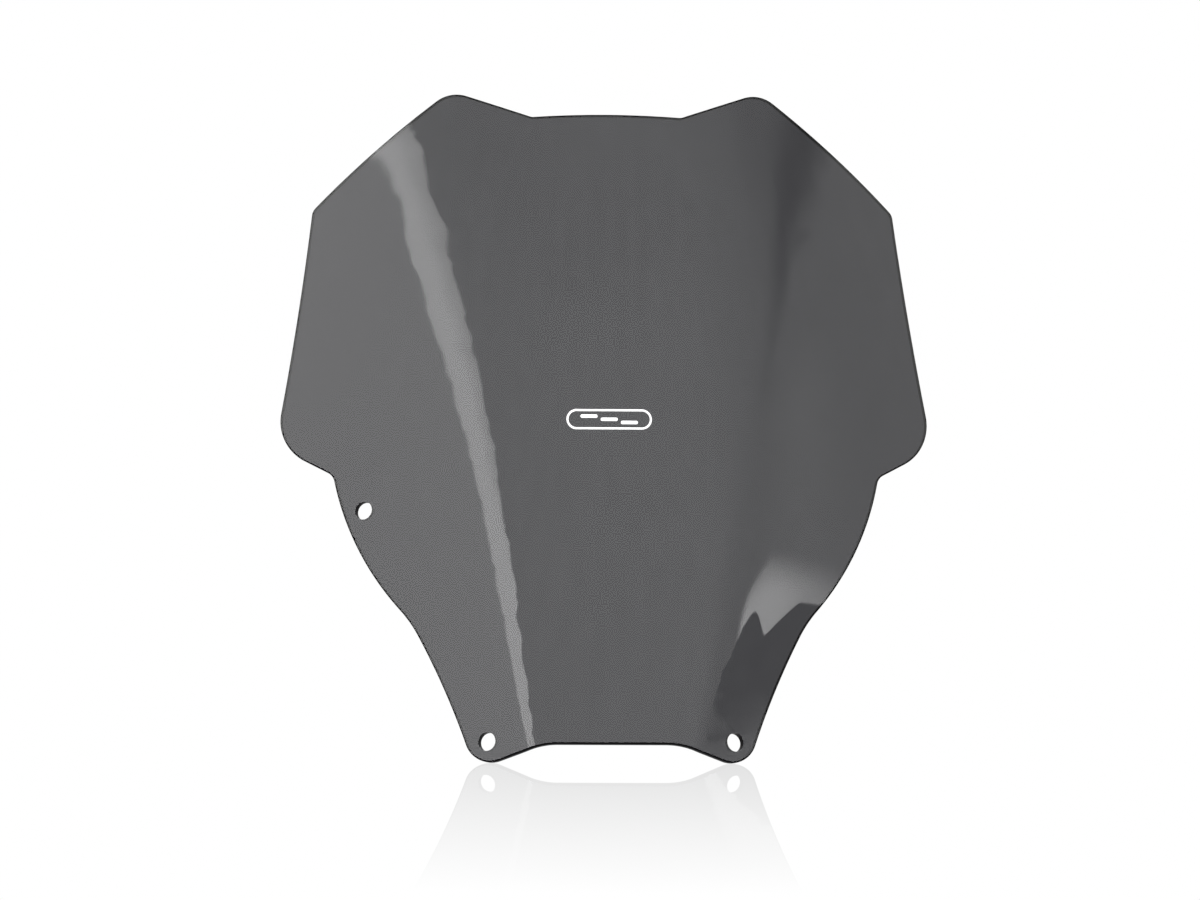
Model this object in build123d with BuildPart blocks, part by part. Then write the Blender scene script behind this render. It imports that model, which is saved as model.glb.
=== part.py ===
from build123d import *
import math
import os

# One-piece thermoformed windshield screen for a motorcycle, with a small printed mark.
# Front view: +X to the right, +Z up, and the outer (wind) side faces -Y.
# The origin is the bottom centre of the screen's bounding box, on its plane of symmetry.

# Sheet
sheet_thickness = 4.0
edge_round = 1.0

# Form of the outer face: it leans back, bows sideways and folds along two soft lines
form_height = 420.0
lean_slope = 0.345
lean_relief = 0.062
bow_at_foot = 0.0005
bow_at_top = 0.0045
fold_slope = 0.526
fold_fade = 1.74
fold_half_gap = 52.0
fold_spread = 0.193
fold_softness = 6.0
fold_softening = 0.06

# Lowest point of the form on the plane of symmetry, seen from the origin
form_start_y = -98.157
form_start_z = 0.584

# Grid on which the form is sampled
grid_half_width = 228.0
grid_bottom = -12.0
grid_top = 448.0
grid_columns = 115
grid_rows = 39

# Outline, right half, as (x, z) corners in front view
top_middle = (0.0, 417.5)
top_corner = (49.0, 416.0)
ear_corner = (101.9, 433.9)
diagonal_middle = (154.5, 391.5)
shoulder_corner = (192.3, 355.1)
side_middle = (201.1, 287.5)
cheek_corner = (215.9, 199.6)
notch_corner = (177.7, 180.9)
flank_middle = (160.9, 132.4)
knee_corner = (128.5, 88.8)
shank_middle = (108.0, 48.9)
sill_height = 12.4

# Rounding of those corners
top_corner_radius = 3.0
ear_radius = 21.0
shoulder_radius = 9.0
cheek_radius = 29.0
notch_radius = 8.0
knee_radius = 80.0
sill_radius = 50.0

# Feet that carry the lower fixing holes
foot_x = 77.8
foot_radius = 15.5
foot_outer_angle = 22.0
foot_inner_slope = 22.0

# Fixing holes, cut square to the sheet
hole_diameter = 12.0
lower_hole_x = 79.0
lower_hole_z = 12.9
side_hole_x = -157.6
side_hole_z = 158.3

# Printed mark: an open capsule round three short dashes
mark_z = 218.0
mark_width = 55.0
mark_height = 13.0
mark_line = 1.3
mark_print = 0.12
dash_length = 11.0
dash_height = 2.2
dash_pitch = 13.0
dash_rise = 2.0


def soft_hinge(distance, softness):
    # nearly zero before the fold line, then rising one for one, with a rounded bend
    return (math.hypot(distance, softness) + distance) / 2


def form_depth(x, z):
    # how far the outer face lies behind its lowest middle point
    rise = z / form_height
    lean = lean_slope * z * (1 - lean_relief * rise)
    bow = (bow_at_foot + (bow_at_top - bow_at_foot) * rise) * x * x / 2
    fold_x = fold_half_gap + fold_spread * z
    softness = fold_softness + fold_softening * max(z, 0)
    bend = soft_hinge(x - fold_x, softness) + soft_hinge(-x - fold_x, softness)
    fold = fold_slope * max(1 - rise, 0) ** fold_fade * bend
    return lean + bow + fold


def on_form(x, z):
    # the point of the outer face at this place of the outline's plane
    return Vector(x, form_start_y + form_depth(x, z), form_start_z + z)


def form_normal(x, z):
    # square to the outer face, pointing out of it towards -Y
    step = 0.1
    slope_x = (form_depth(x + step, z) - form_depth(x - step, z)) / (2 * step)
    slope_z = (form_depth(x, z + step) - form_depth(x, z - step)) / (2 * step)
    return Vector(slope_x, -1, slope_z).normalized()


# Outer face of the form, before it is cut to the outline
column_pitch = 2 * grid_half_width / (grid_columns - 1)
row_pitch = (grid_top - grid_bottom) / (grid_rows - 1)
form_points = [
    [on_form(column * column_pitch - grid_half_width, row * row_pitch + grid_bottom)
     for column in range(grid_columns)]
    for row in range(grid_rows)
]
form_face = Face.make_surface_from_array_of_points(form_points, tol=0.005, min_deg=3, max_deg=5)

# The outline's plane stands upright in front view, at the form's lowest middle point
front_plane = Plane(
    origin=(0, form_start_y, form_start_z), x_dir=(1, 0, 0), z_dir=(0, -1, 0)
)

# Foot and sill points that follow from the driving dimensions
foot_centre = (foot_x, foot_radius)
foot_sweep = 90 - foot_outer_angle + foot_inner_slope
inner_angle = math.radians(foot_inner_slope)
foot_inner_x = foot_x - foot_radius * math.sin(inner_angle)
foot_inner_z = foot_radius * (1 - math.cos(inner_angle))
sill_run = (sill_height - foot_inner_z) / math.tan(inner_angle)
sill_corner = (foot_inner_x - sill_run, sill_height)

corner_radii = {
    top_corner: top_corner_radius,
    ear_corner: ear_radius,
    shoulder_corner: shoulder_radius,
    cheek_corner: cheek_radius,
    notch_corner: notch_radius,
    knee_corner: knee_radius,
    sill_corner: sill_radius,
}


def corners_at(sketch, place):
    # the sketch's corner at this place, and its mirror image
    return [v for v in sketch.vertices() if math.dist((abs(v.X), v.Y), place) < 0.01]


with BuildSketch(front_plane) as outline:
    with BuildLine():
        TangentArc(top_middle, top_corner, tangent=(1, 0))
        Line(top_corner, ear_corner)
        ThreePointArc(ear_corner, diagonal_middle, shoulder_corner)
        ThreePointArc(shoulder_corner, side_middle, cheek_corner)
        Line(cheek_corner, notch_corner)
        ThreePointArc(notch_corner, flank_middle, knee_corner)
        foot = CenterArc(foot_centre, foot_radius, -foot_outer_angle, -foot_sweep)
        ThreePointArc(knee_corner, shank_middle, foot @ 0)
        Line(foot @ 1, sill_corner)
        Line(sill_corner, (0, sill_height))
        mirror(about=Plane.YZ)
    make_face()
    for corner, radius in corner_radii.items():
        fillet(corners_at(outline, corner), radius)

with BuildSketch(front_plane) as mark_outline:
    with Locations((0, mark_z)):
        SlotOverall(mark_width, mark_height)
        SlotOverall(mark_width - 2 * mark_line, mark_height - 2 * mark_line, mode=Mode.SUBTRACT)
    for place in (-1, 0, 1):
        with Locations((place * dash_pitch, mark_z - place * dash_rise)):
            SlotOverall(dash_length, dash_height)

# Both sketches cut their shapes out of the curved outer face
outer_face = form_face.intersect(extrude(outline.sketch, amount=form_height, both=True)).faces()[0]
mark_faces = form_face.intersect(extrude(mark_outline.sketch, amount=form_height, both=True)).faces()

hole_places = [
    (lower_hole_x, lower_hole_z),
    (-lower_hole_x, lower_hole_z),
    (side_hole_x, side_hole_z),
]
hole_planes = [Plane(on_form(x, z), z_dir=form_normal(x, z)) for x, z in hole_places]

# The sheet grows inwards, square to its outer face
with BuildPart() as screen:
    thicken(outer_face, amount=sheet_thickness, normal_override=(0, 1, 0))
    sheet_faces = screen.faces().sort_by(SortBy.AREA)[-2:]
    fillet(sheet_faces.edges(), edge_round)
    with Locations(*hole_planes):
        Cylinder(hole_diameter / 2, 4 * sheet_thickness, mode=Mode.SUBTRACT)
screen.part.label = "screen"

# The ink stands on the outer face
with BuildPart() as printed_mark:
    thicken(mark_faces, amount=mark_print, normal_override=(0, -1, 0))
printed_mark.part.label = "printed_mark"

os.makedirs("parts", exist_ok=True)
export_step(screen.part, "parts/screen.step")
export_step(printed_mark.part, "parts/printed_mark.step")
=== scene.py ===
# A smoked motorcycle windshield screen, standing on its two feet in a white studio.
import math

import bmesh
import bpy
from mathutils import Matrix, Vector


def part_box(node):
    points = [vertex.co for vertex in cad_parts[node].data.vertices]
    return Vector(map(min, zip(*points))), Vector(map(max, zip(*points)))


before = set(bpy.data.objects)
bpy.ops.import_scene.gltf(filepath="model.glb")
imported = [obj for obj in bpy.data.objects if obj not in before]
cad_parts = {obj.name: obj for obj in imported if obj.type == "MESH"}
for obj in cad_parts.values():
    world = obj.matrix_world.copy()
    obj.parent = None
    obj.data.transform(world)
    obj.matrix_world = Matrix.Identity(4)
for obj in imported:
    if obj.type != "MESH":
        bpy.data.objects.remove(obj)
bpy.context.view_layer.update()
print("frame loaded:", sorted(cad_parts))

scene = bpy.context.scene
scene.view_settings.view_transform = "Standard"
scene.view_settings.look = "None"


class Value:
    # a socket that can stand in an expression: each operator adds its Math node
    def __init__(self, tree, socket):
        self.tree = tree
        self.socket = socket

    def math(self, operation, *inputs, clamp=False):
        node = self.tree.nodes.new("ShaderNodeMath")
        node.operation = operation
        node.use_clamp = clamp
        for index, value in enumerate(inputs):
            plug(self.tree, node.inputs[index], value)
        return Value(self.tree, node.outputs[0])

    def __add__(self, other):
        return self.math("ADD", self, other)

    def __radd__(self, other):
        return self.math("ADD", other, self)

    def __sub__(self, other):
        return self.math("SUBTRACT", self, other)

    def __rsub__(self, other):
        return self.math("SUBTRACT", other, self)

    def __mul__(self, other):
        return self.math("MULTIPLY", self, other)

    def __rmul__(self, other):
        return self.math("MULTIPLY", other, self)

    def __truediv__(self, other):
        return self.math("DIVIDE", self, other)

    def __pow__(self, other):
        return self.math("POWER", self, other)

    def __abs__(self):
        return self.math("ABSOLUTE", self)

    def clamped(self):
        return self.math("ADD", self, 0.0, clamp=True)

    def atLeast(self, other):
        return self.math("MAXIMUM", self, other)

    def turnFrom(self, other):
        return self.math("ARCTAN2", self, other) * math.degrees(1)


def plug(tree, socket, value):
    if isinstance(value, Value):
        tree.links.new(value.socket, socket)
    elif isinstance(value, bpy.types.NodeSocket):
        tree.links.new(value, socket)
    else:
        socket.default_value = value


class Shader:
    # a material under construction
    def __init__(self, name):
        self.material = bpy.data.materials.new(name)
        self.material.use_nodes = True
        self.tree = self.material.node_tree
        self.tree.nodes.clear()
        self.output = self.tree.nodes.new("ShaderNodeOutputMaterial")

    def node(self, kind, settings=None, **sockets):
        # any node: its type, its settings, then what goes into its sockets
        made = self.tree.nodes.new("ShaderNode" + kind)
        for name, value in (settings or {}).items():
            setattr(made, name, value)
        for name, value in sockets.items():
            plug(self.tree, made.inputs[name.replace("_", " ")], value)
        return made

    def value(self, made, output=0):
        return Value(self.tree, made.outputs[output])

    def place(self):
        return self.node("TexCoord").outputs["Object"]

    def noise(self, scale, detail=3.0, roughness=0.5):
        made = self.node("TexNoise", Vector=self.place(), Scale=scale, Detail=detail, Roughness=roughness)
        return self.value(made, "Fac")

    def ramp(self, value, low, high):
        # 0 at low, 1 at high, and eased between them
        settings = {"interpolation_type": "SMOOTHSTEP"}
        return self.value(self.node("MapRange", settings, Value=value, From_Min=low, From_Max=high))

    def blend(self, factor, low, high):
        made = self.node("Mix", {"data_type": "RGBA"})
        plug(self.tree, made.inputs[0], factor)
        made.inputs[6].default_value = (*low, 1)
        made.inputs[7].default_value = (*high, 1)
        return made.outputs[2]

    def glow(self, strength):
        return self.node("Emission", Strength=strength).outputs[0]

    def layer(self, below, above, factor):
        # one surface over another
        made = self.node("MixShader")
        plug(self.tree, made.inputs[0], factor)
        self.tree.links.new(below, made.inputs[1])
        self.tree.links.new(above, made.inputs[2])
        return made.outputs[0]

    def done(self, surface, volume=None):
        self.tree.links.new(surface, self.output.inputs["Surface"])
        if volume:
            self.tree.links.new(volume, self.output.inputs["Volume"])
        return self.material


acrylic = {
    "ior": 1.49,
    "tint": (1.0, 1.0, 1.0),            # passed by the surface where it is cleanest
    "hazeTint": (0.96, 0.96, 0.965),    # and where it is a little hazy
    "smokeDensity": 758.0,              # per metre
    "smokeColor": (0.05, 0.05, 0.075),
    "driftScale": 5.0,
    "roughness": 0.002,
    "haze": 0.010,
    "filmScale": 60.0,
    "waveScale": 9.0,
    "waveHeight": 0.00002,
}


def makeAcrylic():
    # clear polished faces round a dark absorbing body
    shader = Shader("smokedAcrylic")
    drift = shader.noise(acrylic["driftScale"], detail=2.0)
    film = shader.noise(acrylic["filmScale"], detail=4.0)
    waves = shader.noise(acrylic["waveScale"], detail=1.0)
    relief = shader.node("Bump", Strength=1.0, Distance=acrylic["waveHeight"], Height=waves)
    surface = shader.node(
        "BsdfPrincipled",
        Base_Color=shader.blend(drift, acrylic["tint"], acrylic["hazeTint"]),
        Roughness=acrylic["roughness"] + film * acrylic["haze"],
        IOR=acrylic["ior"],
        Transmission_Weight=1.0,
        Normal=relief.outputs[0],
    )
    smoke = shader.node(
        "VolumeAbsorption", Density=acrylic["smokeDensity"], Color=(*acrylic["smokeColor"], 1)
    )
    return shader.done(surface.outputs[0], smoke.outputs[0])


cutEdge = {
    "deep": (0.001, 0.001, 0.0012),
    "pale": (0.004, 0.004, 0.0045),
    "shine": 0.03,
    "roughness": 0.16,
    "scrape": 0.18,
    "scrapeScale": 420.0,
    "scrapeHeight": 0.00004,
    "scrapeStrength": 0.5,
}


def makeCutEdge():
    # the routed and polished edge, where the smoke is seen lengthways and looks black
    shader = Shader("cutEdge")
    scrapes = shader.noise(cutEdge["scrapeScale"], detail=3.0, roughness=0.6)
    relief = shader.node(
        "Bump", Strength=cutEdge["scrapeStrength"], Distance=cutEdge["scrapeHeight"], Height=scrapes
    )
    surface = shader.node(
        "BsdfPrincipled",
        Base_Color=shader.blend(scrapes, cutEdge["deep"], cutEdge["pale"]),
        Roughness=cutEdge["roughness"] + scrapes * cutEdge["scrape"],
        IOR=acrylic["ior"],
        Specular_IOR_Level=cutEdge["shine"],
        Normal=relief.outputs[0],
    )
    return shader.done(surface.outputs[0])


ink = {
    "clean": (0.92, 0.92, 0.92),
    "thin": (0.80, 0.80, 0.81),
    "roughness": 0.42,
    "grain": 0.12,
    "grainScale": 2500.0,
}


def makeInk():
    shader = Shader("whiteInk")
    grain = shader.noise(ink["grainScale"], detail=2.0)
    surface = shader.node(
        "BsdfPrincipled",
        Base_Color=shader.blend(grain, ink["clean"], ink["thin"]),
        Roughness=ink["roughness"] + grain * ink["grain"],
    )
    return shader.done(surface.outputs[0])


def finish(node, *materials):
    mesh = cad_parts[node].data
    mesh.materials.clear()
    for material in materials:
        mesh.materials.append(material)
    return mesh


def patches(mesh):
    # the mesh's connected faces, the largest patch first
    work = bmesh.new()
    work.from_mesh(mesh)
    found = []
    seen = set()
    for first in work.faces:
        if first.index in seen:
            continue
        seen.add(first.index)
        patch = [first]
        for face in patch:
            around = {near for edge in face.edges for near in edge.link_faces if near.index not in seen}
            seen.update(near.index for near in around)
            patch.extend(sorted(around, key=lambda near: near.index))
        found.append((sum(face.calc_area() for face in patch), [face.index for face in patch]))
    work.free()
    return [indices for area, indices in sorted(found, reverse=True)]


# the sheet's two broad faces stay clear; rounded rims, edge walls and hole walls are the cut edge
screenMesh = finish("screen", makeAcrylic(), makeCutEdge())
for patch in patches(screenMesh)[2:]:
    for index in patch:
        screenMesh.polygons[index].material_index = 1
finish("printed_mark", makeInk())
print("finishes made")


view = {
    "turn": -2.4,          # degrees round the object from straight in front
    "distance": 4.0,       # from the feet
    "height": 0.1988,
    "aside": 0.0081,       # how far the feet's middle stands right of the lens axis
    "widthSeen": 0.762,    # at the feet
    "roll": -0.3,
    "feetIn": 0.0143,      # the feet stand this far behind the object's foremost point
    "sensor": 36,          # millimetres
    "clip": (0.1, 50),
}


def makeCamera():
    data = bpy.data.cameras.new("camera")
    camera = bpy.data.objects.new("camera", data)
    scene.collection.objects.link(camera)
    turn = math.radians(view["turn"])
    away = Vector((math.sin(turn), -math.cos(turn), 0))
    right = Vector((math.cos(turn), math.sin(turn), 0))
    feet = Vector((0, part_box("screen")[0].y + view["feetIn"], view["height"]))
    camera.location = feet + away * view["distance"] - right * view["aside"]
    camera.rotation_euler = (math.radians(90), math.radians(view["roll"]), turn)
    data.sensor_width = view["sensor"]
    data.lens = data.sensor_width * view["distance"] / view["widthSeen"]
    data.clip_start, data.clip_end = view["clip"]
    scene.camera = camera


makeCamera()
print("camera placed")


studio = {"color": (1, 1, 1), "strength": 1.0}


def makeWorld():
    world = bpy.data.worlds.new("whiteStudio")
    world.use_nodes = True
    background = world.node_tree.nodes["Background"]
    background.inputs["Color"].default_value = (*studio["color"], 1)
    background.inputs["Strength"].default_value = studio["strength"]
    scene.world = world


def stagePiece(name, work, material):
    mesh = bpy.data.meshes.new(name)
    work.to_mesh(mesh)
    work.free()
    mesh.materials.append(material)
    piece = bpy.data.objects.new(name, mesh)
    scene.collection.objects.link(piece)
    return piece


floor = {
    "size": 7.0,
    "glow": 1.0,
    "mirror": 0.265,     # how strong it is in the middle
    "reach": 1.26,       # where it has faded away
    "narrow": 2.0,       # how much sooner that is sideways
    "fade": 1.2,
}


def makeFloor():
    # white, and a faint mirror round the feet
    shader = Shader("paleFloor")
    split = shader.node("SeparateXYZ", Vector=shader.place())
    x = shader.value(split, "X") * floor["narrow"]
    y = shader.value(split, "Y")
    distance = (x * x + y * y) ** 0.5
    fade = (1 - (distance / floor["reach"]).clamped() ** floor["fade"]).clamped()
    gloss = shader.node("BsdfAnisotropic", Roughness=0.0, Color=(1, 1, 1, 1))
    surface = shader.layer(shader.glow(floor["glow"]), gloss.outputs[0], fade * floor["mirror"])
    work = bmesh.new()
    bmesh.ops.create_grid(work, x_segments=1, y_segments=1, size=floor["size"] / 2)
    stagePiece("floor", work, shader.done(surface))


# A curved light wall stands round the front, unseen except in the gloss of the sheet.
# Turns are in degrees to the right, as seen from the object; heights are in metres.
# A pair of turns or heights says where something starts and where it is whole.
window = {
    "bright": 2.7,                 # an arched window of light on the left
    "centre": (-62, 0.85),         # its turn and height
    "reach": (46, 0.385),
    "squareness": 2.2,
    "edge": (1.012, 0.985),        # as shares of the reach
    "peak": 0.012,                 # a little taller again past its middle
    "peakTurns": (-58, -72),
    "rim": 5.9,                    # its bright rim
    "rimFrom": 0.69,               # as a share of the reach
    "rimFromTop": 0.85,
    "rimTopTurns": (-44, -72),
    "rimTurns": (-110, -82),
    "rimSoft": 0.04,
    "rimCrisper": 0.015,
    "crisperTurns": (-48, -60),
    "dimmer": 0.45,                # the rim's outer side is dimmer high up
    "dimmerShares": (0.87, 1.0),
    "dimmerHeights": (1.0, 1.12),
}


def addWindow(shader, surface, turn, height):
    centreTurn, centreHeight = window["centre"]
    reachTurn, reachHeight = window["reach"]
    square = window["squareness"]
    across = abs(turn - centreTurn) / reachTurn
    reachHeight = reachHeight + shader.ramp(turn, *window["peakTurns"]) * window["peak"]
    upward = (height - centreHeight).atLeast(0.0) / reachHeight
    out = (across ** square + upward ** square) ** (1 / square)
    inside = shader.ramp(out, *window["edge"])
    start = shader.ramp(turn, *window["rimTopTurns"]) * (window["rimFromTop"] - window["rimFrom"])
    start = window["rimFrom"] + start
    soft = window["rimSoft"] - shader.ramp(turn, *window["crisperTurns"]) * window["rimCrisper"]
    rim = inside * shader.ramp(out, start - soft, start + soft)
    outer = shader.ramp(out, *window["dimmerShares"]) * shader.ramp(height, *window["dimmerHeights"])
    rim = rim * (1 - outer * window["dimmer"])
    rim = rim * shader.ramp(turn, *window["rimTurns"])
    surface = shader.layer(surface, shader.glow(window["bright"]), inside)
    return shader.layer(surface, shader.glow(window["rim"]), rim)


shade = {
    "bright": 0.4,                 # a soft dark slant high on the right
    "start": (50, 1.06),           # its turn and height
    "rise": 0.0075,                # per degree
    "top": 1.165,
    "half": 0.07,
    "turns": (44, 68),
    "endTurns": (100, 80),
}


def addShade(shader, surface, turn, height):
    startTurn, startHeight = shade["start"]
    middle = startHeight + (turn - startTurn) * shade["rise"]
    middle = shade["top"] - (shade["top"] - middle).atLeast(0.0)
    dark = 1 - shader.ramp(abs(height - middle), 0, shade["half"])
    dark = dark * shader.ramp(turn, *shade["turns"]) * shader.ramp(turn, *shade["endTurns"])
    return shader.layer(surface, shader.glow(shade["bright"]), dark)


corner = {
    "bright": 0.45,                # a dark corner low on the right
    "top": 0.612,
    "step": 0.074,                 # its top steps down, then falls
    "stepTurns": (55, 58),
    "fallFrom": 61,
    "fall": 0.009,                 # per degree
    "topSoft": (0.004, -0.004),
    "side": (49, 0.59),            # a turn and height on its left side
    "slant": 56,                   # degrees per metre
    "sideSoft": (-2.2, 1.8),
    "endTurns": (76, 69),
    "footHeights": (0.24, 0.31),
}


def overCorner(shader, turn, height):
    top = corner["top"] - shader.ramp(turn, *corner["stepTurns"]) * corner["step"]
    return height - (top - (turn - corner["fallFrom"]).atLeast(0.0) * corner["fall"])


def addCorner(shader, surface, turn, height):
    sideTurn, sideHeight = corner["side"]
    inside = turn - sideTurn - (sideHeight - height) * corner["slant"]
    over = overCorner(shader, turn, height)
    dark = shader.ramp(inside, *corner["sideSoft"]) * shader.ramp(over, *corner["topSoft"])
    dark = dark * shader.ramp(turn, *corner["endTurns"]) * shader.ramp(height, *corner["footHeights"])
    return shader.layer(surface, shader.glow(corner["bright"]), dark)


gleam = {
    "bright": 5.3,                 # light caught along the top of that corner
    "foot": (-0.002, 0.003),       # over the corner's top
    "top": 0.667,
    "fallFrom": 56,
    "fall": 0.0145,                # per degree
    "crest": (0.042, -0.042),
    "turns": (51.4, 53.8),
    "fainter": 0.55,
    "fainterTurns": (57, 65),
    "endTurns": (68, 66),
}


def addGleam(shader, surface, turn, height):
    over = overCorner(shader, turn, height)
    crest = height - gleam["top"] + (turn - gleam["fallFrom"]).atLeast(0.0) * gleam["fall"]
    light = shader.ramp(over, *gleam["foot"]) * shader.ramp(crest, *gleam["crest"])
    light = light * shader.ramp(turn, *gleam["turns"])
    light = light * (1 - shader.ramp(turn, *gleam["fainterTurns"]) * gleam["fainter"])
    light = light * shader.ramp(turn, *gleam["endTurns"])
    return shader.layer(surface, shader.glow(gleam["bright"]), light)


wall = {
    "radius": 1.3,
    "halfTurn": 125,
    "height": 2.0,
    "sides": 125,
    "middle": 1.7,                 # how bright the plain middle is
    "middleTop": 1.45,
    "middleTopHeights": (1.18, 1.34),
    "right": 1.27,
    "rightTurns": (22, 54),
    "rightTop": 0.95,
    "rightTopTurns": (48, 62),
    "rightTopHeights": (1.08, 1.2),
    "lift": 1.5,                   # a soft brighter upright within the right
    "liftTurn": 61,
    "liftHalf": 11,
    "liftHeights": (1.04, 0.92),
    "meltTurn": 98,                # from here it melts into the white of the studio
    "meltHeight": 1.5,
}


def makeLightWall():
    shader = Shader("lightWall")
    split = shader.node("SeparateXYZ", Vector=shader.place())
    x, y, height = (shader.value(split, axis) for axis in "XYZ")
    turn = x.turnFrom(0 - y)

    high = shader.ramp(height, *wall["middleTopHeights"])
    surface = shader.layer(shader.glow(wall["middle"]), shader.glow(wall["middleTop"]), high)
    surface = shader.layer(surface, shader.glow(wall["right"]), shader.ramp(turn, *wall["rightTurns"]))
    high = shader.ramp(turn, *wall["rightTopTurns"]) * shader.ramp(height, *wall["rightTopHeights"])
    surface = shader.layer(surface, shader.glow(wall["rightTop"]), high)
    lift = 1 - shader.ramp(abs(turn - wall["liftTurn"]), 0, wall["liftHalf"])
    lift = lift * shader.ramp(height, *wall["liftHeights"])
    surface = shader.layer(surface, shader.glow(wall["lift"]), lift)
    for add in (addWindow, addShade, addCorner, addGleam):
        surface = add(shader, surface, turn, height)
    within = 1 - shader.ramp(abs(turn), wall["meltTurn"], wall["halfTurn"])
    within = within * (1 - shader.ramp(height, wall["meltHeight"], wall["height"]))
    surface = shader.layer(surface, shader.glow(studio["strength"]), 1 - within)

    work = bmesh.new()
    start = math.radians(-wall["halfTurn"])
    foot = work.verts.new((wall["radius"] * math.sin(start), -wall["radius"] * math.cos(start), 0))
    top = work.verts.new((foot.co.x, foot.co.y, wall["height"]))
    upright = work.edges.new((foot, top))
    bmesh.ops.spin(
        work, geom=[foot, top, upright], cent=(0, 0, 0), axis=(0, 0, 1),
        angle=math.radians(2 * wall["halfTurn"]), steps=wall["sides"],
    )
    piece = stagePiece("lightWall", work, shader.done(surface))
    piece.visible_camera = False
    piece.visible_transmission = False
    piece.visible_shadow = False


makeWorld()
makeFloor()
makeLightWall()
print("studio made")
